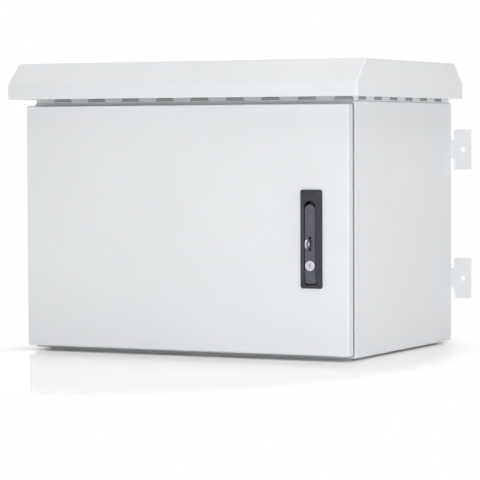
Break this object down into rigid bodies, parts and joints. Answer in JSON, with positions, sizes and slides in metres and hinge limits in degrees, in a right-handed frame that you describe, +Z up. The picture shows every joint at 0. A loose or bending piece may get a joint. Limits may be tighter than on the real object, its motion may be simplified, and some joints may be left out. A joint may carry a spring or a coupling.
{
  "type": "wall-mounted outdoor equipment cabinet",
  "caption": "Light-grey folded-sheet outdoor wall cabinet with hinged overlay door, black swing handle with lock and padlock eye, vented rain canopy, wall ears and rack rails inside.",
  "frame": {"origin": "middle of the body's plan, on the underside of the bottom cover that it stands on", "axes": "+X to the right seen from the door side, +Y towards the wall, +Z up"},
  "size_m": [0.675, 0.471, 0.489],
  "materials": {
    "cabinet_paint": "light grey powder coat, fine texture, half matt",
    "zinc_steel": "zinc-plated sheet",
    "fixings": "zinc-plated fixings",
    "handle_black": "black moulded, satin",
    "lock_metal": "nickel-plated",
    "seal_rubber": "black foam and membrane rubber",
    "filter_fibre": "white fibre mat"
  },
  "bodies": {
    "cabinet": {"body_wrapper": "cabinet_paint", "back_panel": "cabinet_paint", "roof_canopy": "cabinet_paint", "vent_collar": "cabinet_paint", "gland_plate": "cabinet_paint", "wall_ear_upper_left": "cabinet_paint", "wall_ear_upper_right": "cabinet_paint", "wall_ear_lower_left": "cabinet_paint", "wall_ear_lower_right": "cabinet_paint", "vent_plate": "zinc_steel", "roof_beam_front": "zinc_steel", "roof_beam_rear": "zinc_steel", "depth_bar_upper_left": "zinc_steel", "depth_bar_upper_right": "zinc_steel", "depth_bar_lower_left": "zinc_steel", "depth_bar_lower_right": "zinc_steel", "rack_rail_left": "zinc_steel", "rack_rail_right": "zinc_steel", "upper_hinge_frame_leaf": "zinc_steel", "lower_hinge_frame_leaf": "zinc_steel", "collar_screws": "fixings", "roof_screws": "fixings", "gland_screws": "fixings", "ear_screws": "fixings", "ear_nuts": "fixings", "rail_screws": "fixings", "upper_hinge_pin": "fixings", "lower_hinge_pin": "fixings", "earth_stud_body": "fixings", "gland_gasket": "seal_rubber", "cable_grommets": "seal_rubber", "filter_mat": "filter_fibre"},
    "door": {"door_panel": "cabinet_paint", "door_gasket": "seal_rubber", "door_stiffener": "cabinet_paint", "earth_stud_door": "fixings", "upper_hinge_door_leaf": "zinc_steel", "lower_hinge_door_leaf": "zinc_steel", "handle_seal": "seal_rubber", "handle_housing": "handle_black", "handle_clamp_upper": "zinc_steel", "handle_clamp_lower": "zinc_steel", "handle_screws": "fixings", "lever_pin": "fixings", "padlock_eye": "lock_metal"},
    "lever": {"swing_lever": "handle_black", "lock_barrel": "lock_metal"},
    "key": {"key_plug": "lock_metal"},
    "latch": {"latch_spindle": "zinc_steel", "latch_tongue": "zinc_steel", "tongue_washer": "fixings", "tongue_nut": "fixings"}
  },
  "joints": [
    {"name": "door_hinge", "type": "hinge", "parent": "cabinet", "child": "door", "pos_m": [-0.294, -0.218, 0.2125], "axis": [0, 0, -1], "range_deg": [0, 110]},
    {"name": "lever_lift", "type": "hinge", "parent": "door", "child": "lever", "pos_m": [0.235, -0.2345, 0.1345], "axis": [1, 0, 0], "range_deg": [0, 60]},
    {"name": "key_turn", "type": "hinge", "parent": "lever", "child": "key", "pos_m": [0.235, -0.236, 0.1545], "axis": [0, -1, 0], "range_deg": [0, 90]},
    {"name": "latch_turn", "type": "hinge", "parent": "door", "child": "latch", "pos_m": [0.235, -0.2065, 0.1345], "axis": [0, -1, 0], "range_deg": [0, 90]}
  ]
}
